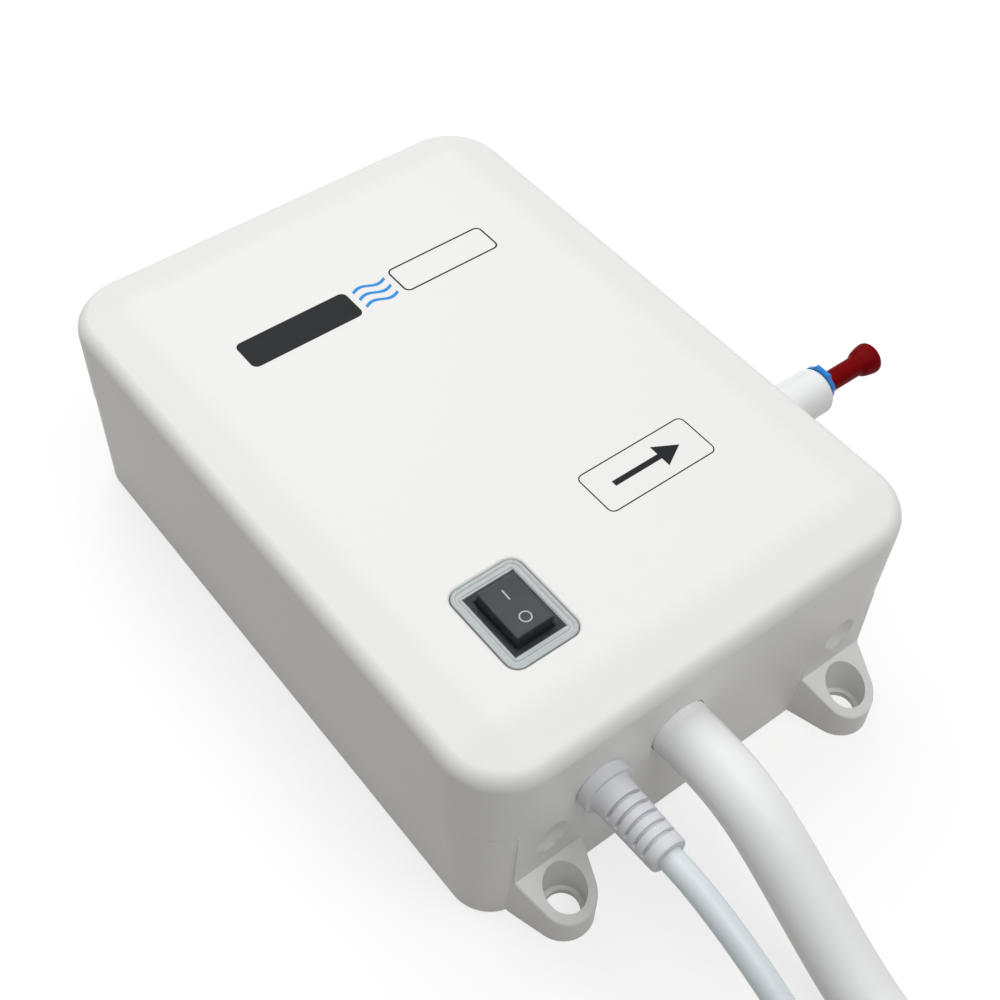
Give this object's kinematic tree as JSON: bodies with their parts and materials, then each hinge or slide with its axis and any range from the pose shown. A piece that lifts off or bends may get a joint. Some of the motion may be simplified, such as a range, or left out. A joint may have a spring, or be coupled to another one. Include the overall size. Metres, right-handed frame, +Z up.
{
  "type": "bottled water pump",
  "caption": "Mains diaphragm pump in a two-part box with mounting ears, booted rocker switch, suction hose, push-fit outlet with plug and clip, and mains lead.",
  "frame": {"origin": "centre of the underside of the base, on the mounting surface", "axes": "+X to the right along the front wall, towards the outlet's side; +Y from the front wall with the hose and lead to the back; +Z up"},
  "size_m": [0.2498, 0.5861, 0.0755],
  "materials": {
    "housing_plastic": "fine satin",
    "steel": "plain",
    "black_plastic": "satin",
    "rocker_plastic": "gloss",
    "clear_silicone": "clear",
    "sleeve_rubber": "satin",
    "cord_jacket": "satin",
    "plug_plastic": "satin",
    "hose_plastic": "smooth",
    "intake_plastic": "satin",
    "fitting_plastic": "gloss",
    "clip_plastic": "gloss",
    "red_plastic": "gloss",
    "tube_plastic": "smooth",
    "valve_plastic": "satin",
    "seal_rubber": "matte",
    "cast_housing": "cast",
    "motor_paint": "satin",
    "windings": "lacquered laminations",
    "copper_alloy": "plain",
    "ferrite": "matte",
    "carbon": "matte",
    "board_laminate": "satin",
    "blue_case": "satin"
  },
  "bodies": {
    "housing": {"base_tray": "housing_plastic", "top_cover": "housing_plastic", "cover_screws": "steel", "switch_body": "black_plastic", "switch_boot": "clear_silicone", "mains_strain_relief": "sleeve_rubber", "mains_cord": "cord_jacket", "mains_coil": "cord_jacket", "mains_tail": "cord_jacket", "mains_tie": "black_plastic", "mains_plug": "plug_plastic", "plug_pins": "steel", "hose_inner": "hose_plastic", "hose_clamp": "steel", "suction_hose": "hose_plastic", "hose_coil": "hose_plastic", "hose_tail": "hose_plastic", "hose_tie": "black_plastic", "intake_strainer": "intake_plastic", "outlet_fitting": "fitting_plastic", "outlet_nut": "fitting_plastic", "outlet_seal": "seal_rubber", "outlet_collet": "fitting_plastic", "outlet_tube": "tube_plastic", "pump_head": "black_plastic", "head_screws": "steel", "valve_plate": "valve_plastic", "inlet_valves": "seal_rubber", "outlet_valve": "seal_rubber", "diaphragm": "seal_rubber", "drive_housing": "cast_housing", "motor_can": "motor_paint", "motor_magnets": "ferrite", "carbon_brushes": "carbon", "end_cap": "black_plastic", "front_bush": "copper_alloy", "rear_bush": "copper_alloy", "pump_foot": "steel", "foot_grommets": "seal_rubber", "foot_screws": "steel", "pressure_switch": "red_plastic", "control_board": "board_laminate", "board_screws": "steel", "rectifier": "black_plastic", "capacitor": "blue_case", "relay": "blue_case", "terminal_block": "plug_plastic"},
    "rocker": {"switch_rocker": "rocker_plastic"},
    "shaft": {"motor_shaft": "steel", "armature": "windings", "commutator": "copper_alloy", "wobble_hub": "steel"},
    "wobble": {"wobble_plate": "intake_plastic", "wobble_bearing": "steel"},
    "plug": {"outlet_plug": "red_plastic"},
    "clip": {"collet_clip": "clip_plastic"}
  },
  "joints": [
    {"name": "rocker_tilt", "type": "hinge", "parent": "housing", "child": "rocker", "pos_m": [-0.0364, -0.064, 0.0693], "axis": [1, 0, 0], "range_deg": [-12, 0], "deforming": ["switch_boot"]},
    {"name": "motor_spin", "type": "hinge", "parent": "housing", "child": "shaft", "pos_m": [0.008, 0, 0.0361], "axis": [0, 1, 0], "continuous": true},
    {"name": "wobble_nutate", "type": "hinge", "parent": "shaft", "child": "wobble", "pos_m": [0.008, -0.012, 0.0361], "axis": [0, 0.9976, 0.0698], "continuous": true},
    {"name": "plug_pull", "type": "slide", "parent": "housing", "child": "plug", "axis": [1, 0, 0], "range_m": [0, 0.03]},
    {"name": "clip_pull", "type": "slide", "parent": "housing", "child": "clip", "axis": [0, 0, 1], "range_m": [0, 0.014]}
  ],
  "couplings": [
    {"joint": "wobble_nutate", "follows": "motor_spin", "ratio": -1}
  ]
}
